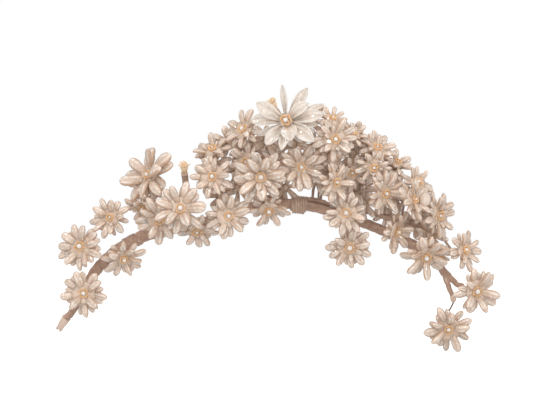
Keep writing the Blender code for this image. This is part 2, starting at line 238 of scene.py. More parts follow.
def makeMottleGroup():
    # slow and fast colour drift that wax and paper share
    tree, given, end = newTree("mottle", (("Scale", "Float"),), (("Value", "Float"), ("Grain", "Float")),
                               "ShaderNodeTree")
    fine = noise(tree, 1500.0, 4.0)
    both = plus(tree, times(tree, noise(tree, given["Scale"]), 0.75), times(tree, fine, 0.25))
    made = addNode(tree, "ShaderNodeMapRange", {0: both, 1: 0.3, 2: 0.7})
    tree.links.new(made.outputs[0], end["Value"])
    tree.links.new(fine, end["Grain"])
    return tree


mottleGroup = makeMottleGroup()


def newMaterial(name):
    made = bpy.data.materials.new(name)
    made.use_nodes = True
    tree = made.node_tree
    return made, tree, tree.nodes["Principled BSDF"]


def mottled(tree, scale):
    return addNode(tree, "ShaderNodeGroup", {"Scale": scale}, node_tree=mottleGroup).outputs


def setBump(tree, shader, height, strength, distance):
    made = addNode(tree, "ShaderNodeBump", {"Height": height, "Strength": strength, "Distance": distance})
    tree.links.new(made.outputs[0], shader.inputs["Normal"])


waxLook = {
    # rootGlow is painted light: a warm tan glow where the petals crowd at the root, standing in for light
    # through the wax
    "rootGlow": coloured(0.72, 0.52, 0.38),
    "body": coloured(0.67, 0.475, 0.345),
    # pearl is the colour of the painted highlights, the sheen bands and the rim lines; streak sets the
    # strength of the bands
    "pearl": coloured(0.92, 0.89, 0.85),
    # edge is the colour of the painted shade along petal edges and outlines; rim sets its strength at the
    # side edges
    "edge": coloured(0.52, 0.33, 0.22),
    "streak": 0.85,
    "rim": 0.85,
    "roughness": (0.26, 0.42),
    "shader": {"IOR": 1.45, "Coat Weight": 1.0, "Coat Roughness": 0.08, "Coat IOR": 1.7,
               "Subsurface Weight": 0.6, "Subsurface Radius": (1.0, 1.0, 1.0), "Subsurface Scale": 0.0013},
}


def makeWax(name, look, creases):
    made, tree, shader = newMaterial(name)
    along, across, tone = (attribute(tree, n) for n in ("along", "across", "tone"))
    edge = sumOf(tree, "ABSOLUTE", across)
    drift = mottled(tree, 230.0)
    patches = noise(tree, 800.0, 3.0, 0.65)
    # painted light: the warm root glow fades into the body colour over the first part of each petal
    colour = mixColour(tree, ramp(tree, along, 0.0, 0.45), look["rootGlow"], look["body"])
    # painted highlight: pale sheen bands run along both sides of a petal's middle, standing in for gloss on
    # the wax; painted shade turns each side edge amber
    wander = plus(tree, across, times(tree, sumOf(tree, "SUBTRACT", patches, 0.5), 0.9))
    wander = sumOf(tree, "ABSOLUTE", wander)
    band = times(tree, ramp(tree, wander, 0.1, 0.42, 0.25, 1.0), ramp(tree, wander, 0.52, 0.8, 1.0, 0.0))
    band = times(tree, band, ramp(tree, along, 0.3, 0.75, 0.3, 1.0))
    pale = times(tree, band, ramp(tree, patches, 0.38, 0.56, 0.15, 1.0))
    colour = mixColour(tree, times(tree, pale, look["streak"]), colour, look["pearl"])
    # painted shade: each side edge of the petal darkens to the edge colour
    edgeShade = times(tree, ramp(tree, edge, 0.6, 0.98), look["rim"])
    colour = mixColour(tree, edgeShade, colour, look["edge"])
    # painted highlight: a pale line along each rolled rim
    for low, high, most in creases["rims"]:
        line = times(tree, ramp(tree, edge, low, high), most)
        colour = mixColour(tree, line, colour, look["pearl"])
    # painted shade: the colour turns amber where the surface turns away from the view, outlining every petal
    facing = addNode(tree, "ShaderNodeLayerWeight", {"Blend": 0.3}).outputs["Facing"]
    colour = mixColour(tree, ramp(tree, facing, 0.45, 1.0, 0.0, 0.5), colour, look["edge"])
    shade = times(tree, ramp(tree, tone, 0.0, 1.0, 0.9, 1.05),
                  ramp(tree, drift["Value"], 0.1, 0.9, 0.9, 1.06))
    grey = addNode(tree, "ShaderNodeCombineColor", {0: shade, 1: shade, 2: shade}).outputs[0]
    colour = mixColour(tree, 1.0, colour, grey, "MULTIPLY")
    tree.links.new(colour, shader.inputs["Base Color"])
    low, high = look["roughness"]
    tree.links.new(ramp(tree, drift["Grain"], 0.35, 0.65, low, high), shader.inputs["Roughness"])
    # lengthwise folds pressed into the petal, softer towards its tip
    folds = sumOf(tree, "SINE", times(tree, across, creases["count"]))
    folds = times(tree, folds, ramp(tree, along, 0.15, 0.9, 1.0, 0.25))
    lumps = noise(tree, creases["lumps"], 2.0)
    height = plus(tree, times(tree, folds, creases["depth"]), lumps)
    setBump(tree, shader, height, creases["strength"], 0.0007)
    for key, value in look["shader"].items():
        shader.inputs[key].default_value = value
    return made


smallWax = makeWax("pearlWax", waxLook, {
    "count": 5.0, "depth": 0.3, "lumps": 430.0, "strength": 0.8, "rims": ()})
# the large petals take less painted edge shade, and a painted highlight line along each rolled rim
largeWax = makeWax("pearlWaxCreased", {**waxLook, "body": coloured(0.68, 0.545, 0.44), "rim": 0.3}, {
    "count": 9.0, "depth": 0.5, "lumps": 260.0, "strength": 0.9, "rims": ((0.55, 0.72, 0.5),)})


paperLook = {
    "dark": coloured(0.22, 0.12, 0.08),
    "light": coloured(0.62, 0.395, 0.29),
    "wear": coloured(0.80, 0.61, 0.48),
    "roughness": (0.72, 0.95),
}


def makePaper(name, look, spiral):
    # crepe paper: fine crinkles across the tape; a random mottle, with painted shade darker in the crinkles'
    # hollows and in the folds
    made, tree, shader = newMaterial(name)
    drift = mottled(tree, 260.0)
    crinkle = noise(tree, 2600.0, 5.0, 0.7)
    # painted shade: the low places of the crinkle darken the paper, on top of its random mottle
    mask = plus(tree, times(tree, drift["Value"], 0.6),
                 times(tree, crinkle, 0.4))
    if spiral:
        fold = attribute(tree, "fold")
        # painted shade just below the step where one turn of tape overlaps the next
        mask = times(tree, mask, ramp(tree, fold, 0.0, 0.25, 0.25, 1.0))
    colour = mixColour(tree, mask, look["dark"], look["light"])
    spots = ramp(tree, noise(tree, 700.0, 2.0), 0.62, 0.72)
    colour = mixColour(tree, times(tree, spots, 0.55), colour, look["wear"])
    tree.links.new(colour, shader.inputs["Base Color"])
    low, high = look["roughness"]
    tree.links.new(ramp(tree, crinkle, 0.3, 0.7, high, low), shader.inputs["Roughness"])
    setBump(tree, shader, crinkle, 0.8, 0.0003)
    shader.inputs["Sheen Weight"].default_value = 0.15
    return made


wrapPaper = makePaper("crepePaperWrap", paperLook, True)
stemPaper = makePaper("crepePaperStem", {
    **paperLook, "dark": coloured(0.27, 0.165, 0.115), "light": coloured(0.70, 0.49, 0.37)}, False)
tornPaper = makePaper("crepePaperTorn", {
    **paperLook, "dark": coloured(0.50, 0.34, 0.26), "light": coloured(0.82, 0.66, 0.56)}, False)


def makePlain(name, dark, light, roughness, scale, metallic=0.0, coat=0.0):
    made, tree, shader = newMaterial(name)
    drift = mottled(tree, scale)
    colour = mixColour(tree, drift["Value"], coloured(*dark), coloured(*light))
    tree.links.new(colour, shader.inputs["Base Color"])
    tree.links.new(ramp(tree, drift["Grain"], 0.3, 0.7, *roughness), shader.inputs["Roughness"])
    setBump(tree, shader, drift["Grain"], 0.35, 0.0002)
    shader.inputs["Metallic"].default_value = metallic
    shader.inputs["Coat Weight"].default_value = coat
    return made


stamenGold = makePlain("stamenGold", (0.74, 0.37, 0.13), (0.90, 0.60, 0.32), (0.45, 0.7), 900.0)
stamenPale = makePlain("stamenPale", (0.80, 0.52, 0.28), (0.92, 0.74, 0.52), (0.45, 0.7), 900.0)
pearlWhite = makePlain("pearlBead", (0.80, 0.72, 0.64), (0.93, 0.90, 0.86), (0.14, 0.26), 300.0, coat=0.7)
bareWire = makePlain("bareWire", (0.10, 0.07, 0.05), (0.26, 0.20, 0.16), (0.35, 0.6), 900.0, 0.7)
wireBrown = makePlain("coreWire", (0.16, 0.13, 0.11), (0.4, 0.36, 0.32), (0.3, 0.5), 900.0, 1.0)
print("materials ready")


# reading the frame

# the even prism at the heart of each whorl: its corner radius and half its height
hubLook = {"small": 0.0031, "large": 0.0056, "halfHeight": 0.0009}


def cleanPoints(name):
    points = np.array([v.co for v in nodes[name].data.vertices], float)
    return np.unique(np.round(points, 6), axis=0)


def settleAxis(points, middle, axis, hub, halfHeight):
    # slides a first guess onto the hub's two rings of corners; the score counts corners that fit
    for width in (0.0012, 0.0007, 0.0004, 0.0002, 0.0001):
        spread = points - middle
        heights = spread @ axis
        radial = np.linalg.norm(spread - np.outer(heights, axis), axis=1)
        ring = (np.abs(radial - hub) < width) & (np.abs(np.abs(heights) - halfHeight) < width)
        if ring.sum() < 10:
            return 0, middle, axis
        middle = points[ring].mean(0)
        spread = points[ring] - middle
        # the two rings are an even prism, so its odd axis is the one with the least like spread
        values, vectors = np.linalg.eigh(spread.T @ spread)
        axis = vectors[:, 0]
    return int(ring.sum()), middle, axis


def readFlower(name, hub, halfHeight=hubLook["halfHeight"]):
    # finds the flower's middle, its own axes, and each petal's direction, lift and reach
    points = cleanPoints(name)
    start = points.mean(0)
    first = np.linalg.svd(points - start, full_matrices=False)[2]
    best = (0, start, first[2])
    for tilt in np.radians((0, 12, 24, 36)):
        for turn in np.radians(range(0, 360, 45)):
            aside = first[0] * math.cos(turn) + first[1] * math.sin(turn)
            axis = first[2] * math.cos(tilt) + aside * math.sin(tilt)
            for slide in (0.0, 0.0015, -0.0015, 0.003, -0.003):
                found = settleAxis(points, start + axis * slide, axis, hub, halfHeight)
                best = max(best, found, key=lambda b: b[0])
    count, middle, axis = best[0] // 2, best[1], best[2]
    spread = points - middle
    heights = spread @ axis
    flat = spread - np.outer(heights, axis)
    radial = np.linalg.norm(flat, axis=1)
    step = 2 * math.pi / count
    root = hub * math.cos(step / 2)
    outer = radial > hub * 1.25
    if heights[outer].mean() < 0:
        axis, heights = -axis, -heights
    distance = np.hypot(radial - root, heights)
    tips = outer & (distance > distance[outer].max() * 0.93)
    side = flat[tips][0] / radial[tips][0]
    up = np.cross(axis, side)
    angles = np.arctan2(flat @ up, flat @ side)
    spin = np.angle(np.exp(1j * count * angles[tips]).mean()) / count
    which = np.round((angles - spin) / step).astype(int) % count
    petals = []
    for index in range(count):
        mine = tips & (which == index)
        out, high = radial[mine].mean() - root, heights[mine].mean()
        petals.append((spin + index * step, math.atan2(high, out), math.hypot(out, high)))
    place = Matrix((side, up, axis)).transposed().to_4x4()
    place.translation = Vector(middle)
    return place, petals, root


def slices(name, axis, count):
    # the middle and half-width of a rod at even steps along one world axis
    mesh = nodes[name].data
    points = np.array([v.co for v in mesh.vertices], float)
    ends = points[np.array([e.vertices[:] for e in mesh.edges])]
    first, last = points[:, axis].min(), points[:, axis].max()
    found = []
    for share in np.linspace(0.0, 1.0, count):
        level = first + (last - first) * min(max(share, 0.004), 0.996)
        a, b = ends[:, 0], ends[:, 1]
        crossing = (a[:, axis] - level) * (b[:, axis] - level) <= 0
        crossing &= np.abs(a[:, axis] - b[:, axis]) > 1e-9
        a, b = a[crossing], b[crossing]
        share = (level - a[:, axis]) / (b[:, axis] - a[:, axis])
        cut = a + (b - a) * share[:, None]
        half = (cut.max(0) - cut.min(0)) / 2
        found.append((Vector((cut.max(0) + cut.min(0)) / 2), float(max(half))))
    return found


# small petals

smallPetal = {
    "length": 0.0100,
    "halfWidth": 0.0021,
    "thickness": 0.0026,
    # share of the length, of the half width and of the thickness
    "stations": [(0.0, 0.6, 0.45), (0.24, 0.74, 0.55), (0.48, 0.9, 0.75), (0.68, 1.0, 0.95), (0.83, 0.9, 1.0),
                 (0.93, 0.64, 0.8), (0.985, 0.32, 0.45)],
    "sides": 8,
    "trough": (0.0, 0.4),
    "cup": 0.12,
    "arch": 0.0007,
    "curl": -0.0005,
    "inset": 0.35,  # a petal starts inside the hub, by this share of the hub
    "variants": 8,
    "seed": 5,
}
largePetal = {
    "length": 0.0150,
    "halfWidth": 0.0035,
    "thickness": 0.0019,
    "stations": [(0.0, 0.42, 0.8), (0.08, 0.46, 0.8), (0.18, 0.56, 0.85), (0.3, 0.72, 0.9),
                 (0.42, 0.88, 0.95), (0.54, 0.98, 1.0), (0.65, 1.0, 1.0), (0.76, 0.9, 1.0),
                 (0.85, 0.7, 0.95), (0.925, 0.46, 0.85), (0.97, 0.26, 0.65), (0.993, 0.12, 0.4)],
    "sides": 18,
    "trough": (0.55, 1.0),
    "cup": 0.26,
    "arch": 0.0012,
    "curl": -0.0010,
    "inset": 0.62,
    "variants": 6,
    "seed": 21,
}


def makePetal(name, cut, rng):
    # a closed spoon with rolled rims: length along X, upper side along Z
    bm = bmesh.new()
    layers = [bm.verts.layers.float.new(n) for n in ("along", "across")]
    wide = 1 + rng.uniform(-0.12, 0.12)
    arch = cut["arch"] * rng.uniform(0.3, 1.7)
    curl = cut["curl"] * rng.uniform(-0.6, 2.2)
    twist = rng.uniform(-0.22, 0.22)
    lean = rng.uniform(-0.1, 0.1)
    trough = rng.uniform(*cut["trough"])

    def spine(share):
        height = arch * math.sin(math.pi * share) + curl * share ** 3
        return Vector((share * cut["length"], lean * cut["length"] * share ** 2 * 0.6, height))

    rings = []
    for share, width, thick in cut["stations"]:
        ring = []
        for k in range(cut["sides"]):
            turn = math.tau * k / cut["sides"]
            x, z = math.cos(turn), math.sin(turn)
            x = math.copysign(abs(x) ** 0.85, x)
            height = z * cut["thickness"] * thick / 2
            if z > 0:
                height -= trough * cut["thickness"] * thick * (1 - x * x) * z
            height += cut["cup"] * cut["halfWidth"] * width * x * x
            sway = x * cut["halfWidth"] * width * wide
            angle = twist * share
            offset = Vector((0, sway * math.cos(angle) - height * math.sin(angle),
                             sway * math.sin(angle) + height * math.cos(angle)))
            vert = bm.verts.new(spine(share) + offset)
            vert[layers[0]] = share
            vert[layers[1]] = x
            ring.append(vert)
        rings.append(ring)
    poles = []
    for share in (0.0, 1.0):
        pole = bm.verts.new(spine(share))
        pole[layers[0]] = share
        poles.append([pole])
    skin(bm, [poles[0], *rings, poles[1]], cut["sides"])
    return meshFrom(bm, name)


def makePetalSet(name, cut):
    rng = random.Random(cut["seed"])
    held = bpy.data.collections.new(name)
    for k in range(cut["variants"]):
        obj = bpy.data.objects.new(f"{name}{k}", makePetal(f"{name}{k}", cut, rng))
        held.objects.link(obj)
        spares.append(obj)
    return held


def makeWhorlTree():
    # puts a petal on every root point, turned by the point's own angle and lift
    tree, given, end = newTree("petalWhorl", (
        ("Geometry", "Geometry"), ("Petals", "Collection"), ("Petal length", "Float"), ("Hub", "Float"),
        ("Sway", "Float"), ("Width", "Float"), ("Seed", "Int"), ("Wax", "Material")))
    seed = given["Seed"]
    turn, lift, reach, girth = (stored(tree, n) for n in ("turn", "lift", "reach", "girth"))
    turn = plus(tree, turn, times(tree, given["Sway"], rolled(tree, seed, -1.0, 1.0, 1)))
    lift = plus(tree, lift, times(tree, given["Sway"], rolled(tree, seed, -0.8, 0.8, 2)))
    moved = addNode(tree, "GeometryNodeSetPosition", {
        "Geometry": given["Geometry"], "Position": vectorOf(tree, *onCircle(tree, turn, given["Hub"]))})
    rotation = vectorOf(tree, rolled(tree, seed, -0.25, 0.25, 3), times(tree, lift, -1.0), turn)
    size = sumOf(tree, "DIVIDE", reach, given["Petal length"])
    long = times(tree, size, rolled(tree, seed, 0.93, 1.14, 6))
    thick = times(tree, times(tree, size, given["Width"]), rolled(tree, seed, 0.88, 1.1, 4))
    scale = vectorOf(tree, long, times(tree, thick, girth), thick)
    info = addNode(tree, "GeometryNodeCollectionInfo", {
        "Collection": given["Petals"], "Separate Children": True, "Reset Children": True})
    choice = addNode(tree, "FunctionNodeRandomValue", {"Seed": seed, 4: 0, 5: 100}, data_type="INT")
    put = addNode(tree, "GeometryNodeInstanceOnPoints", {
        "Points": moved.outputs[0], "Instance": info.outputs[0], "Pick Instance": True,
        "Instance Index": choice.outputs[2], "Rotation": rotation, "Scale": scale})
    toned = store(tree, put.outputs[0], "tone", rolled(tree, seed, 0.0, 1.0, 5), "INSTANCE")
    return finishTree(tree, toned, given["Wax"], end)


petalTree = makeWhorlTree()
smallPetals = makePetalSet("smallPetal", smallPetal)
largePetals = makePetalSet("largePetal", largePetal)


def lathe(name, profile, sides, material, shares=None, ripple=0.0):
    # a turned shape about Z from radius and height pairs, both ends on the axis
    bm = bmesh.new()
    layers = [bm.verts.layers.float.new(n) for n in ("along", "across", "tone")]
    rings = []
    for step, (radius, height) in enumerate(profile):
        share = shares[step] if shares else 0.5
        ring = []
        for k in range(sides if radius > 0 else 1):
            turn = math.tau * k / sides
            r = radius * (1 + ripple * math.cos(turn * 5 + step))
            vert = bm.verts.new((r * math.cos(turn), r * math.sin(turn), height))
            vert[layers[0]] = share
            vert[layers[2]] = 0.5
            ring.append(vert)
        rings.append(ring)
    skin(bm, rings, sides)
    return meshFrom(bm, name, material)


# stamens and pearl

centreLook = {
    "pearl": 0.0013,
    "pearlHeight": 0.0027,
    "ring": 0.0019,
    "count": 22,
    "filament": 0.0017,
    "spread": 0.42,
    "fill": 0.3,
    "rise": 0.0012,
}


stamenLength = 0.0019  # the filament length that leaves a stamen as it is drawn


def makeStamen():
    # a short filament with a swollen anther, along Z
    return lathe("stamen", [(0, 0), (0.00017, 0.0), (0.00016, 0.0011), (0.0004, 0.0014), (0.00044, 0.0018),
                            (0.0, 0.0022)], 6, stamenGold)


stamen = bpy.data.objects.new("stamen", makeStamen())
spares.append(stamen)


def makeStamenTree():
    tree, given, end = newTree("stamenRing", (
        ("Geometry", "Geometry"), ("Stamen", "Object"), ("Count", "Int"), ("Ring", "Float"),
        ("Lean", "Float"), ("Length", "Float"), ("Fill", "Float"), ("Seed", "Int"), ("Gold", "Material")))
    seed = given["Seed"]
    points = addNode(tree, "GeometryNodePoints", {"Count": given["Count"]})
    order = addNode(tree, "GeometryNodeInputIndex").outputs[0]
    turn = times(tree, plus(tree, order, rolled(tree, seed, -0.3, 0.3, 1)),
                 sumOf(tree, "DIVIDE", math.tau, given["Count"]))
    inward = times(tree, given["Fill"], rolled(tree, seed, 0.0, 1.0, 2))
    radius = times(tree, given["Ring"], sumOf(tree, "SUBTRACT", 1.0, inward))
    moved = addNode(tree, "GeometryNodeSetPosition", {
        "Geometry": points.outputs[0], "Position": vectorOf(tree, *onCircle(tree, turn, radius))})
    rotation = vectorOf(tree, 0.0, times(tree, given["Lean"], rolled(tree, seed, 0.5, 1.35, 3)), turn)
    scale = vectorOf(tree, 1.0, 1.0, times(tree, given["Length"], rolled(tree, seed, 0.8, 1.2, 4)))
    info = addNode(tree, "GeometryNodeObjectInfo", {"Object": given["Stamen"]})
    put = addNode(tree, "GeometryNodeInstanceOnPoints", {
        "Points": moved.outputs[0], "Instance": info.outputs["Geometry"],
        "Rotation": rotation, "Scale": scale})
    return finishTree(tree, put.outputs[0], given["Gold"], end)


stamenTree = makeStamenTree()


def makeStamens(name, look, seed):
    source = addObject(name, bpy.data.meshes.new(name))
    return runTree(source, stamenTree, {
        "Stamen": stamen, "Count": look["count"], "Ring": look["ring"], "Lean": look["spread"],
        "Length": look["filament"] / stamenLength, "Fill": look["fill"], "Seed": seed,
        "Gold": look.get("gold", stamenGold)})


def makePearl(radius, height):
    rows = 7
    profile = [(0, height - radius)]
    for k in range(1, rows):
        turn = math.pi * k / rows
        profile.append((radius * math.sin(turn), height - radius * math.cos(turn)))
    profile.append((0, height + radius))
    return lathe("pearl", profile, 12, pearlWhite)


def whorlMesh(name, petals, root, cut, held, wax, sway, seed, width=1.0):
    base = bpy.data.meshes.new(name)
    base.from_pydata([(0, 0, 0)] * len(petals), [], [])
    for key, column in (("turn", 0), ("lift", 1), ("reach", 2), ("girth", 3)):
        layer = base.attributes.new(key, "FLOAT", "POINT")
        layer.data.foreach_set("value", [(*p, 1.0)[column] for p in petals])
    return runTree(addObject(name, base), petalTree, {
        "Petals": held, "Petal length": cut["length"], "Hub": root * (1 - cut["inset"]), "Sway": sway,
        "Width": width, "Seed": seed, "Wax": wax})


flowerLook = {
    "sway": 0.2,
    "inner": {"every": 3, "count": (3, 5), "reach": (0.56, 0.72), "lift": (0.7, 1.05), "girth": 1.25,
              "sway": 0.1},
    "fullReach": 0.0088,  # a petal at least this long has the full mound and centre
    "uneven": {"flower_left_05": [(0, 1.22, 1.25), (60, 1.02, 1.0), (110, 0.95, 1.0), (150, 0.95, 1.35),
                                  (200, 1.05, 1.4), (260, 1.0, 1.1), (310, 1.05, 1.0), (360, 1.22, 1.25)]},
    "grown": {"flower_left_03": 1.1, "flower_left_06": 1.03, "flower_left_07": 1.05, "flower_left_10": 0.88,
              "flower_left_15": 0.92, "flower_centre_03": 0.9},
    "back": {"reach": 0.8, "lift": 0.2, "rise": -0.0010},
    "mound": [(0.0, -0.0045), (0.0011, -0.0045), (0.00125, -0.0034), (0.0018, -0.0019), (0.0036, -0.0008),
              (0.0060, 0.0002), (0.0060, 0.0010), (0.0046, 0.0016), (0.0028, 0.0020), (0.0, 0.0018)],
    # the shares set how much painted root glow the mound takes: most on its underside and round its middle on
    # top
    "moundShares": [0.0, 0.0, 0.05, 0.1, 0.2, 0.5, 0.5, 0.35, 0.15, 0.05],
}


def layerPetals(petals, layer, shift):
    # a further layer of petals, between those that the frame gives
    reach = max(p[2] for p in petals) * layer["reach"]
    count = len(petals)
    first = petals[0][0] + shift
    return [(first + math.tau * k / count, layer["lift"], reach) for k in range(count)]


def unevenPetals(petals, place, shares):
    # longer and broader petals towards some sides, given as angles in the upright plane
    angles, reaches, girths = zip(*shares)
    found = []
    for turn, lift, reach in petals:
        aim = place.to_3x3() @ Vector((math.cos(turn), math.sin(turn), 0))
        angle = math.degrees(math.atan2(aim.z, aim.x)) % 360
        found.append((turn, lift, reach * float(np.interp(angle, angles, reaches)),
                      float(np.interp(angle, angles, girths))))
    return found


def makeSmallFlower(node, seed):
    place, petals, root = readFlower(node, hubLook["small"])
    inset = root * smallPetal["inset"]
    step = math.tau / len(petals)
    meshes = []
    behind = layerPetals(petals, flowerLook["back"], step / 2)
    for order, (layer, rise) in enumerate(((petals, 0.0), (behind, flowerLook["back"]["rise"]))):
        grown = flowerLook["grown"].get(node, 1.0)
        longer = [(turn, lift, reach * grown + inset) for turn, lift, reach in layer]
        if node in flowerLook["uneven"]:
            longer = unevenPetals(longer, place, flowerLook["uneven"][node])
        whorl = whorlMesh(f"{node}Whorl{order}", longer, root, smallPetal, smallPetals, smallWax,
                          flowerLook["sway"], seed + order)
        whorl.transform(Matrix.Translation((0, 0, rise)))
        meshes.append(whorl)
    inner = flowerLook["inner"]
    if seed % inner["every"] == 0:
        # a few petals that stand up round the centre
        rng = random.Random(seed + 5)
        count = rng.randint(*inner["count"])
        longest = max(p[2] for p in petals)
        raised = [(rng.uniform(-0.3, 0.3) + math.tau * k / count, rng.uniform(*inner["lift"]),
                   longest * rng.uniform(*inner["reach"]), inner["girth"]) for k in range(count)]
        meshes.append(whorlMesh(node + "Inner", raised, root * 1.1, smallPetal, smallPetals, smallWax,
                                inner["sway"], seed + 3))
    # the wax web between the petals follows their lift
    lift = math.tan(sum(p[1] for p in petals) / len(petals))
    broad = min(1.0, petals[0][2] / flowerLook["fullReach"])
    mound = [(r * (broad if r > 0.002 else 1.0), z + max(0.0, r * broad - root) * lift)
             for r, z in flowerLook["mound"]]
    meshes.append(lathe("mound", mound, 18, smallWax, flowerLook["moundShares"], 0.05))
    mesh = joinMeshes(node + "Petals", meshes)
    mesh.transform(place)
    body = bodyOf[node]
    addPiece(node + "_petals", mesh, body, [node])
    rng = random.Random(seed)
    size = min(1.0, max(p[2] for p in petals) / flowerLook["fullReach"]) * rng.uniform(0.78, 1.08)
    look = {**centreLook, "ring": centreLook["ring"] * size, "count": centreLook["count"] - rng.randrange(4)}
    gold = makeStamens(node + "Stamens", look, seed)
    gold.transform(Matrix.Translation((0, 0, look["rise"])))
    bead = centreLook["pearl"] * size * (rng.uniform(0.5, 0.7) if rng.random() < 0.3 else 1.0)
    pearl = makePearl(bead, centreLook["pearlHeight"])
    middle = joinMeshes(node + "Centre", [gold, pearl])
    middle.transform(place)
    addPiece(node + "_centre", middle, body)


smallNames = sorted(n for n in nodes if n.startswith("flower_") and not n.endswith("stem"))
smallNames.append("hanging_flower")
for order, node in enumerate(smallNames):
    makeSmallFlower(node, 100 + order * 7)
print("small flowers:", len(smallNames))


# half-hidden back flowers, pressed between the stems where the front ones leave room

backLook = {
    "petals": (7, 9),
    "reach": (0.0072, 0.0092),
    "near": 0.031,
    "apart": 0.0078,
    "depth": 0.0005,
    "clear": 0.0125,
    "tilt": 0.5,
    "hub": 0.0025,
    "core": [(0.0, -0.0016), (0.0016, -0.0013), (0.0024, 0.0), (0.0016, 0.001), (0.0, 0.0012)],
    "seed": 77,
}


def makeBackFlowers():
    rng = random.Random(backLook["seed"])
    places = []
    for node in smallNames:
        if bodyOf[node] == "crown":
            places.append(readFlower(node, hubLook["small"])[0].translation)
    places.append(middleOf("large_flower_front"))
    band = [p for p, _ in slices("centre_band_wire", 0, 60)]
    sprig = middleOf("left_stamen_sprig")
    chosen = []
    for k, a in enumerate(places):
        for b in places[k + 1:]:
            middle = (a + b) / 2
            if Vector((a.x - b.x, 0, a.z - b.z)).length > backLook["near"]:
                continue
            under = min(band, key=lambda p: abs(p.x - middle.x))
            spot = Vector((middle.x, under.y + backLook["depth"], middle.z))
            if abs(under.x - middle.x) > 0.004 or spot.z < under.z + 0.006:
                continue
            # the bare sprig needs room to bend
            if abs(spot.x - sprig.x) < backLook["clear"] and abs(spot.z - sprig.z) < backLook["clear"] * 1.3:
                continue
            if all(math.hypot(spot.x - c.x, spot.z - c.z) > backLook["apart"] for c in chosen):
                chosen.append(spot)
    meshes = []
    for order, spot in enumerate(chosen):
        count = rng.randint(*backLook["petals"])
        reach = rng.uniform(*backLook["reach"])
        turn = rng.uniform(0, math.tau)
        petals = [(turn + math.tau * k / count, 0.25 + 0.35 * (k % 2), reach) for k in range(count)]
        whorl = whorlMesh(f"back{order}", petals, backLook["hub"], smallPetal, smallPetals, smallWax,
                          flowerLook["sway"], 500 + order)
        core = lathe("core", backLook["core"], 10, smallWax, [0.1, 0.2, 0.3, 0.3, 0.2])
        mesh = joinMeshes(f"back{order}", [whorl, core])
        lean = Matrix.Rotation(math.pi / 2 + rng.uniform(-1, 1) * backLook["tilt"], 4, "X")
        side = Matrix.Rotation(rng.uniform(-1, 1) * backLook["tilt"], 4, "Z")
        mesh.transform(Matrix.Translation(spot) @ side @ lean)
        meshes.append(mesh)
    addPiece("back_flowers", joinMeshes("backFlowers", meshes), "crown")
    print("back flowers:", len(chosen))


makeBackFlowers()


# the large flower

largeLook = {
    # direction in the face of the flower, lift, share of the reach, share of the width
    "front": [(9, 0.32, 0.97, 1.0), (37, 0.42, 0.76, 1.15), (151, 0.38, 0.86, 1.15),
              (179, 0.2, 1.05, 0.95), (233, 0.3, 0.86, 1.15), (266, 0.28, 0.82, 0.85),
              (291, 0.75, 0.76, 1.35), (325, 0.34, 0.95, 1.1), (354, 0.1, 0.82, 0.9)],
    "behind": [(27, -0.05, 1.0, 0.7), (61, 0.0, 0.97, 0.95), (99, 0.0, 0.93, 0.75), (205, -0.15, 0.75, 0.8),
               (250, 0.12, 0.62, 0.95), (282, 0.12, 0.62, 0.95), (308, 0.12, 0.62, 0.95),
               (340, 0.0, 0.72, 0.8)],
    "sway": 0.03,
    "backWidth": 0.72,
    "backRise": 0.0021,
    "cone": [(0.0, -0.0012), (0.0020, -0.0012), (0.0034, -0.0006), (0.0036, 0.0004), (0.0030, 0.0013),
             (0.0018, 0.0016), (0.0, 0.0015)],
    "neck": [(0.0, -0.0065), (0.0012, -0.0065), (0.0014, -0.0052), (0.0022, -0.0038), (0.0038, -0.0030),
             (0.0050, -0.0025), (0.0, -0.0022)],
    "centre": {"ring": 0.0023, "count": 34, "filament": 0.0022, "spread": 0.4, "fill": 0.6, "rise": 0.0013},
    "pearl": 0.0012,
    "pearlHeight": 0.0034,
}


def makeLargeFlower():
    front = readFlower("large_flower_front", hubLook["large"])
    back = readFlower("large_flower_back", hubLook["large"])
    for label, (place, petals, root), aims, width, seed, turned in (
            ("front", front, largeLook["front"], 1.0, 31, largeLook["cone"]),
            ("back", back, largeLook["behind"], largeLook["backWidth"], 47, largeLook["neck"])):
        longest = max(p[2] for p in petals) + root * largePetal["inset"]
        longer = []
        for angle, lift, share, girth in aims:
            aim = Vector((math.cos(math.radians(angle)), 0, math.sin(math.radians(angle))))
            local = place.to_3x3().transposed() @ aim
            longer.append((math.atan2(local.y, local.x), lift, longest * share, girth))
        wax = whorlMesh(label + "Whorl", longer, root, largePetal, largePetals, largeWax,
                        largeLook["sway"], seed, width)
        core = lathe(label + "Core", turned, 18, largeWax, None, 0.03)
        if label == "back":
            core.transform(Matrix.Translation((0, 0, largeLook["backRise"])))
        mesh = joinMeshes(label + "Large", [wax, core])
        mesh.transform(place)
        addPiece(f"large_{label}_petals", mesh, "large_flower", [f"large_flower_{label}"])
    gold = makeStamens("largeStamens", largeLook["centre"], 3)
    gold.transform(Matrix.Translation((0, 0, largeLook["centre"]["rise"])))
    pearl = makePearl(largeLook["pearl"], largeLook["pearlHeight"])
    middle = joinMeshes("largeCentre", [gold, pearl])
    middle.transform(front[0])
    addPiece("large_centre", middle, "large_flower", ["large_flower_centre"])


makeLargeFlower()
print("large flower")


# paper tape on the band

bandLook = {
    "radius": 0.00258,
    "bendRadius": 0.0029,
    "pitch": 0.0046,
    "ridge": 0.00032,
    "crinkle": 0.0004,
    "sides": 22,
    "step": 0.0006,
}


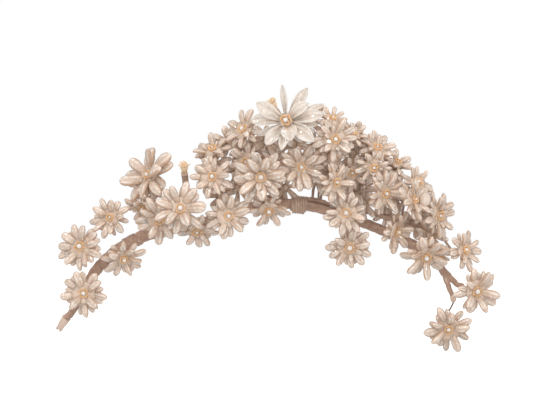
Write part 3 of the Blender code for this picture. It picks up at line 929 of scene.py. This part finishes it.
def makeWrapTree():
    # tape wound round a curve: a saw-tooth ridge that climbs along it, and crinkles
    tree, given, end = newTree("tapeWrap", (
        ("Geometry", "Geometry"), ("Radius", "Float"), ("Pitch", "Float"), ("Ridge", "Float"),
        ("Crinkle", "Float"), ("Sides", "Int"), ("Step", "Float"), ("Paper", "Material")))
    even = addNode(tree, "GeometryNodeResampleCurve", {
        "Curve": given["Geometry"], "Length": given["Step"]}, mode="LENGTH")
    spline = addNode(tree, "GeometryNodeSplineParameter")
    ring = addNode(tree, "GeometryNodeCurvePrimitiveCircle", {
        "Resolution": given["Sides"], "Radius": given["Radius"]})
    sweep = addNode(tree, "GeometryNodeCurveToMesh", {
        "Curve": store(tree, even.outputs[0], "run", spline.outputs["Length"]),
        "Profile Curve": store(tree, ring.outputs[0], "around", spline.outputs["Factor"]), "Fill Caps": True})
    if "Scale" in sweep.inputs:
        tree.links.new(addNode(tree, "GeometryNodeInputRadius").outputs[0], sweep.inputs["Scale"])
    turns = plus(tree, sumOf(tree, "DIVIDE", stored(tree, "run"), given["Pitch"]), stored(tree, "around"))
    saw = sumOf(tree, "FRACT", turns)
    where = addNode(tree, "GeometryNodeInputPosition").outputs[0]
    rough = addNode(tree, "ShaderNodeTexNoise", {"Vector": where, "Scale": 480.0, "Detail": 2.0}).outputs[0]
    lift = plus(tree, times(tree, saw, given["Ridge"]),
                 times(tree, sumOf(tree, "SUBTRACT", rough, 0.5), given["Crinkle"]))
    offset = scaled(tree, addNode(tree, "GeometryNodeInputNormal").outputs[0], lift)
    moved = addNode(tree, "GeometryNodeSetPosition", {"Geometry": sweep.outputs[0], "Offset": offset})
    folded = store(tree, moved.outputs[0], "fold", saw)
    smooth = addNode(tree, "GeometryNodeSetShadeSmooth", {"Geometry": folded})
    return finishTree(tree, smooth.outputs[0], given["Paper"], end)


wrapTree = makeWrapTree()


def curveObject(name, points, radii=None):
    curve = bpy.data.curves.new(name, "CURVE")
    curve.dimensions = "3D"
    spline = curve.splines.new("POLY")
    spline.points.add(len(points) - 1)
    for index, place in enumerate(points):
        spline.points[index].co = (*place, 1)
        spline.points[index].radius = radii[index] if radii else 1.0
    return addObject(name, curve)


def wrapMesh(name, points, radius, radii=None, look=bandLook):
    return runTree(curveObject(name, points, radii), wrapTree, {
        "Radius": radius, "Pitch": look["pitch"], "Ridge": look["ridge"], "Crinkle": look["crinkle"],
        "Sides": look["sides"], "Step": look["step"], "Paper": look.get("paper", wrapPaper)})


def smoothCopy(name, material):
    # the CAD shape itself, merged and given its own finish
    bm = bmesh.new()
    bm.from_mesh(nodes[name].data)
    bmesh.ops.remove_doubles(bm, verts=bm.verts, dist=2e-6)
    bmesh.ops.recalc_face_normals(bm, faces=bm.faces)
    for face in bm.faces:
        face.material_index = 0
    addPiece(name + "_shaped", meshFrom(bm, name + "Shaped", material), bodyOf[name], [name])


def bandPoints(node, count, before, after):
    # the wire gives the middle of the tape; both ends are run out to the tape's own ends
    middle = [p for p, _ in slices(node, 0, count)]
    middle.insert(0, middle[0] + (middle[0] - middle[2]).normalized() * before)
    middle.append(middle[-1] + (middle[-1] - middle[-3]).normalized() * after)
    return middle


def thickness(points, table):
    # tape thickness along X, from pairs of place and share
    places, shares = zip(*table)
    return [float(np.interp(p.x, places, shares)) for p in points]


# the wire stops short of its tape: past a bend by a little, past a tip by more
wireGap = {"bend": 0.0003, "tip": 0.0021}
# the tape's thickness along the crown, as places and shares; it tapers to both tips
tapeShares = [(-0.107, 0.6), (-0.1, 0.72), (-0.092, 1.0), (-0.08, 1.15), (-0.065, 1.0), (0.0, 0.95),
              (0.05, 0.92), (0.077, 0.86), (0.087, 0.62), (0.095, 0.4)]
forkLook = {"leave": 0.0062, "radius": 0.0012, "shares": (1.4, 1.15, 0.95, 0.8)}


def forkMesh():
    # the short side stem that carries the bud
    bud = middleOf("fork_bud")
    start = min(rightLine, key=lambda q: abs(q.x - (bud.x - forkLook["leave"])))
    points = [start, start.lerp(bud, 0.3) + Vector((0.0002, 0, 0.0006)), start.lerp(bud, 0.62), bud]
    return wrapMesh("fork", points, forkLook["radius"], list(forkLook["shares"]))


leftLine = bandPoints("left_arm_wire", 30, wireGap["tip"], wireGap["bend"])
centreLine = bandPoints("centre_band_wire", 70, wireGap["bend"], wireGap["bend"])
rightLine = bandPoints("right_arm_wire", 20, wireGap["bend"], wireGap["tip"])
for label, line, body, node in (("left", leftLine, "left_arm", "left_arm_tape"),
                                ("centre", centreLine, "crown", "centre_band_tape"),
                                ("right", rightLine, "right_arm", "right_arm_tape")):
    mesh = wrapMesh(label + "Wrap", line, bandLook["radius"], thickness(line, tapeShares))
    if label == "right":
        mesh = joinMeshes("rightWrap", [mesh, forkMesh()])
    addPiece(label + "_band_wrap", mesh, body, [node])


def bridge(label, before, after):
    # one more turn of tape over each bend
    points = before[-7:] + after[:7]
    points = [p for p, q in zip(points, points[1:] + [None]) if q is None or (p - q).length > 1e-5]
    mesh = wrapMesh(label + "Bend", points, bandLook["bendRadius"], thickness(points, tapeShares))
    obj = addObject(label + "_bend_wrap", mesh)
    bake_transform(obj)


bridge("left", leftLine, centreLine)
bridge("right", centreLine, rightLine)
for name in ("left_arm_wire", "centre_band_wire", "right_arm_wire"):
    for material in nodes[name].material_slots:
        material.material = wireBrown
print("band")


# stems, upper branch

for name in ("left_spray_stems", "left_fan_stems", "crown_stems", "right_crown_stems", "right_shoulder_stems",
             "upper_branch", "large_flower_stem", "flower_centre_12_stem"):
    smoothCopy(name, stemPaper)
smoothCopy("hanging_wire", bareWire)
print("stems")


# thread binding over the middle of the band

bindingLook = {
    "turns": 5,
    "thread": 0.00068,
    "perTurn": 16,
    # two stems that leave the binding beside the band: height, depth and how far they run
    "strands": [(0.0012, -0.0026, 0.020), (0.0036, -0.0016, 0.016)],
    "strand": 0.0009,
    "strandTape": {"pitch": 0.003, "ridge": 0.0001, "crinkle": 0.0003, "sides": 10, "step": 0.0006},
}


def makeCoilTree():
    tree, given, end = newTree("threadCoil", (
        ("Geometry", "Geometry"), ("Turns", "Int"), ("Per turn", "Int"), ("Radius", "Float"),
        ("Thread", "Float"), ("Paper", "Material")))
    count = times(tree, given["Turns"], given["Per turn"])
    even = addNode(tree, "GeometryNodeResampleCurve", {
        "Curve": given["Geometry"], "Count": count}, mode="COUNT")
    factor = addNode(tree, "GeometryNodeSplineParameter").outputs["Factor"]
    turn = times(tree, times(tree, factor, given["Turns"]), math.tau)
    normal = addNode(tree, "GeometryNodeInputNormal").outputs[0]
    tangent = addNode(tree, "GeometryNodeInputTangent").outputs[0]
    side = addNode(tree, "ShaderNodeVectorMath", {0: tangent, 1: normal},
                   operation="CROSS_PRODUCT").outputs[0]
    alongNormal, alongSide = onCircle(tree, turn, given["Radius"])
    offset = addNode(tree, "ShaderNodeVectorMath", {
        0: scaled(tree, normal, alongNormal), 1: scaled(tree, side, alongSide)}, operation="ADD").outputs[0]
    moved = addNode(tree, "GeometryNodeSetPosition", {"Geometry": even.outputs[0], "Offset": offset})
    ring = addNode(tree, "GeometryNodeCurvePrimitiveCircle", {
        "Resolution": 8, "Radius": given["Thread"]})
    sweep = addNode(tree, "GeometryNodeCurveToMesh", {
        "Curve": moved.outputs[0], "Profile Curve": ring.outputs[0], "Fill Caps": True})
    smooth = addNode(tree, "GeometryNodeSetShadeSmooth", {"Geometry": sweep.outputs[0]})
    return finishTree(tree, smooth.outputs[0], given["Paper"], end)


def makeBinding():
    low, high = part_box("centre_binding")
    line = [p for p in centreLine if low.x + 0.0004 < p.x < high.x - 0.0004]
    radius = (high.y - low.y) / 2 + bindingLook["thread"] * 0.5
    mesh = runTree(curveObject("coil", line), makeCoilTree(), {
        "Turns": bindingLook["turns"], "Per turn": bindingLook["perTurn"], "Radius": radius,
        "Thread": bindingLook["thread"], "Paper": stemPaper})
    addPiece("binding_thread", mesh, "crown")
    strands = []
    for order, (rise, depth, run) in enumerate(bindingLook["strands"]):
        path = [p + Vector((0, depth, rise)) for p in centreLine if -0.001 < p.x - high.x < run]
        strands.append(wrapMesh(f"strand{order}", path, bindingLook["strand"], None,
                                bindingLook["strandTape"]))
    addPiece("binding_strands", joinMeshes("strands", strands), "crown")
    smoothCopy("centre_binding", stemPaper)


makeBinding()
print("binding")


# bare stamen sprigs and the bud

sprigLook = {
    "tuft": {"ring": 0.0013, "count": 24, "filament": 0.0023, "spread": 0.6, "fill": 0.9, "gold": stamenPale},
    "sink": 0.0022,
    "cup": [(0.0, -0.0040), (0.0011, -0.0040), (0.0015, -0.0020), (0.0021, -0.0002), (0.0017, 0.0007),
            (0.0, 0.0009)],
    "stem": 0.0016,
    "stemTape": {"pitch": 0.003, "ridge": 0.00012, "crinkle": 0.0002, "sides": 12, "step": 0.0005,
                 "paper": stemPaper},
}


def makeSprig(node, seed):
    found = slices(node, 2, 26)
    stemLine = [p for p, half in found if half < sprigLook["stem"]]
    aim = (stemLine[-1] - stemLine[-4]).normalized()
    head = stemLine[-1] - aim * sprigLook["sink"]
    stemLine = [p for p in stemLine if (p - head).dot(aim) < 0]
    place = Matrix.Translation(head) @ aim.to_track_quat("Z", "Y").to_matrix().to_4x4()
    gold = makeStamens(node + "Tuft", sprigLook["tuft"], seed)
    cup = lathe("cup", sprigLook["cup"], 12, stamenPale, None, 0.06)
    middle = joinMeshes(node + "Head", [gold, cup])
    middle.transform(place)
    addPiece(node + "_tuft", middle, bodyOf[node], [node])
    radii = [1.0 + 0.35 * k / len(stemLine) for k in range(len(stemLine))]
    stem = wrapMesh(node + "Stem", stemLine, sprigLook["stem"] * 0.8, radii, sprigLook["stemTape"])
    addPiece(node + "_stem", stem, bodyOf[node])


makeSprig("left_stamen_sprig", 61)
makeSprig("crown_stamen_sprig", 67)


# the bud's outline and size, as shares of its solid's
budLook = {
    "profile": [(0, -1.0), (0.45, -0.86), (0.82, -0.45), (1.0, 0.05), (0.86, 0.5), (0.5, 0.82), (0.2, 1.0),
                (0.0, 1.02)],
    "shares": [0.9, 0.85, 0.8, 0.7, 0.5, 0.3, 0.1, 0.0],
    "size": (0.85, 1.25),
}


def makeBud():
    low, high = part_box("fork_bud")
    mesh = lathe("bud", budLook["profile"], 14, smallWax, budLook["shares"], 0.05)
    half = (high - low) / 2
    narrow, tall = budLook["size"]
    size = Matrix.Diagonal((half.x * narrow, half.y * narrow, half.z * tall, 1))
    mesh.transform(Matrix.Translation((low + high) / 2) @ size)
    addPiece("bud", mesh, "right_arm", ["fork_bud"])


makeBud()


# one fat drop of wax, a rolled-up petal, in front of the right shoulder

dropLook = {"beside": ("flower_right_02", "flower_right_03", "flower_right_05"), "forward": 0.007,
            "radius": 0.0029, "height": 0.0036, "lean": 0.25}


def makeDrop():
    middle = sum((middleOf(n) for n in dropLook["beside"]), Vector()) / len(dropLook["beside"])
    radius, height = dropLook["radius"], dropLook["height"]
    profile = [(0, -height), (radius * 0.5, -height * 0.86), (radius * 0.85, -height * 0.5), (radius, 0.0),
               (radius * 0.85, height * 0.5), (radius * 0.5, height * 0.84), (0, height)]
    mesh = lathe("drop", profile, 20, largeWax, [0.7, 0.8, 0.9, 1.0, 0.9, 0.8, 0.7], 0.02)
    place = middle + Vector((0, -dropLook["forward"], 0))
    mesh.transform(Matrix.Translation(place) @ Matrix.Rotation(dropLook["lean"], 4, "Y"))
    addPiece("rolled_petal", mesh, "crown")


makeDrop()


# torn paper at the left tip

flapLook = {"length": 0.0080, "width": 0.0046, "rows": 9, "columns": 7, "thick": 0.00025, "seed": 9}


def makeFlap():
    rng = random.Random(flapLook["seed"])
    tip = leftLine[0]
    away = (leftLine[0] - leftLine[4]).normalized()
    across = away.cross(Vector((0, 1, 0))).normalized()
    bm = bmesh.new()
    grid = []
    for r in range(flapLook["rows"]):
        share = r / (flapLook["rows"] - 1)
        row = []
        for c in range(flapLook["columns"]):
            side = c / (flapLook["columns"] - 1) - 0.5
            ragged = rng.uniform(-0.0006, 0.0005) * share
            width = flapLook["width"] * (1 - 0.35 * share)
            bend = 0.0016 * math.sin(share * 2.4) + 0.0012 * math.cos(side * 3.0) - 0.0008
            bend += rng.uniform(-1, 1) * 0.00015
            point = tip + away * (share * flapLook["length"] - 0.0012 + ragged)
            point += across * (side * width + 0.0006 * share) + Vector((0, -bend, 0))
            row.append(bm.verts.new(point))
        grid.append(row)
    for a, b in zip(grid, grid[1:]):
        for k in range(flapLook["columns"] - 1):
            bm.faces.new((a[k], a[k + 1], b[k + 1], b[k]))
    obj = addPiece("torn_tape", meshFrom(bm, "flap", tornPaper), "left_arm")
    solid = obj.modifiers.new("thick", "SOLIDIFY")
    solid.thickness = flapLook["thick"]
    solid.offset = 0.0


makeFlap()
print("sprigs, bud, torn tape")


# stage

stageLook = {
    "viewWidth": 0.2665,
    "lens": 200.0,
    "centre": (-0.0042, 0.0, 0.0045),
    "floor": coloured(0.6, 0.6, 0.6),
    "glow": 0.8,
    "sky": 0.86,
    "mirrored": 0.35,
    "gamma": 1.2,
    "warmth": coloured(1.0, 0.955, 0.91),
}


def makeStage():
    low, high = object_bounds()
    bm = bmesh.new()
    bmesh.ops.create_grid(bm, x_segments=1, y_segments=1, size=2.5)
    made, tree, shader = newMaterial("paleFloor")
    mesh = meshFrom(bm, "floor", made)
    mesh.transform(Matrix.Translation((0, 0, low.z - 0.003)))
    floor = addObject("floor", mesh)
    shader.inputs["Base Color"].default_value = stageLook["floor"]
    shader.inputs["Roughness"].default_value = 0.9
    shader.inputs["Emission Color"].default_value = coloured(1, 1, 1)
    seen = addNode(tree, "ShaderNodeLightPath").outputs["Is Camera Ray"]
    tree.links.new(times(tree, seen, stageLook["glow"]), shader.inputs["Emission Strength"])

    world = bpy.data.worlds.new("studio")
    bpy.context.scene.world = world
    world.use_nodes = True
    tree = world.node_tree
    sky = tree.nodes["Background"]
    path = addNode(tree, "ShaderNodeLightPath").outputs
    mirrored = addNode(tree, "ShaderNodeMapRange", {
        0: path["Is Glossy Ray"], 3: stageLook["sky"], 4: stageLook["mirrored"]}).outputs[0]
    strength = addNode(tree, "ShaderNodeMapRange", {0: path["Is Camera Ray"], 3: mirrored, 4: 1.0}).outputs[0]
    tree.links.new(strength, sky.inputs["Strength"])
    tint = mixColour(tree, path["Is Camera Ray"], stageLook["warmth"], coloured(1, 1, 1))
    tree.links.new(tint, sky.inputs["Color"])

    middle = (low + high) / 2
    for name, place, size, power, tint in (
            ("keyLight", (-0.30, -0.50, 0.50), 0.12, 0.8, (1.0, 0.985, 0.965)),
            ("fillLight", (0.50, -0.50, 0.20), 0.10, 0.5, (1.0, 0.985, 0.97)),
            ("topLight", (0.1, 0.05, 0.7), 0.15, 0.4, (1.0, 0.99, 0.98)),
            ("frontLight", (0.1, -1.8, 0.3), 2.0, 13.0, (1.0, 0.97, 0.94))):
        light = bpy.data.lights.new(name, "AREA")
        light.shape = "DISK"
        light.size = size
        light.energy = power
        light.color = tint
        lamp = addObject(name, light)
        lamp.location = middle + Vector(place)
        lamp.rotation_mode = "QUATERNION"
        lamp.rotation_quaternion = (-Vector(place)).to_track_quat("-Z", "Y")

    # the width of the view is set at the depth of the flowers' faces
    camera = bpy.data.cameras.new("camera")
    camera.lens = stageLook["lens"]
    camera.sensor_width = 36.0
    distance = stageLook["viewWidth"] * camera.lens / camera.sensor_width
    view = addObject("camera", camera)
    view.location = Vector(stageLook["centre"]) + Vector((0, low.y * 0.35 - distance, 0))
    view.rotation_euler = (math.pi / 2, 0, 0)
    camera.clip_start, camera.clip_end = 0.01, 10.0
    bpy.context.scene.camera = view
    bpy.context.scene.view_settings.view_transform = "Standard"
    bpy.context.scene.view_settings.gamma = stageLook["gamma"]


makeStage()
for obj in spares:
    bpy.data.objects.remove(obj)
print("stage ready")
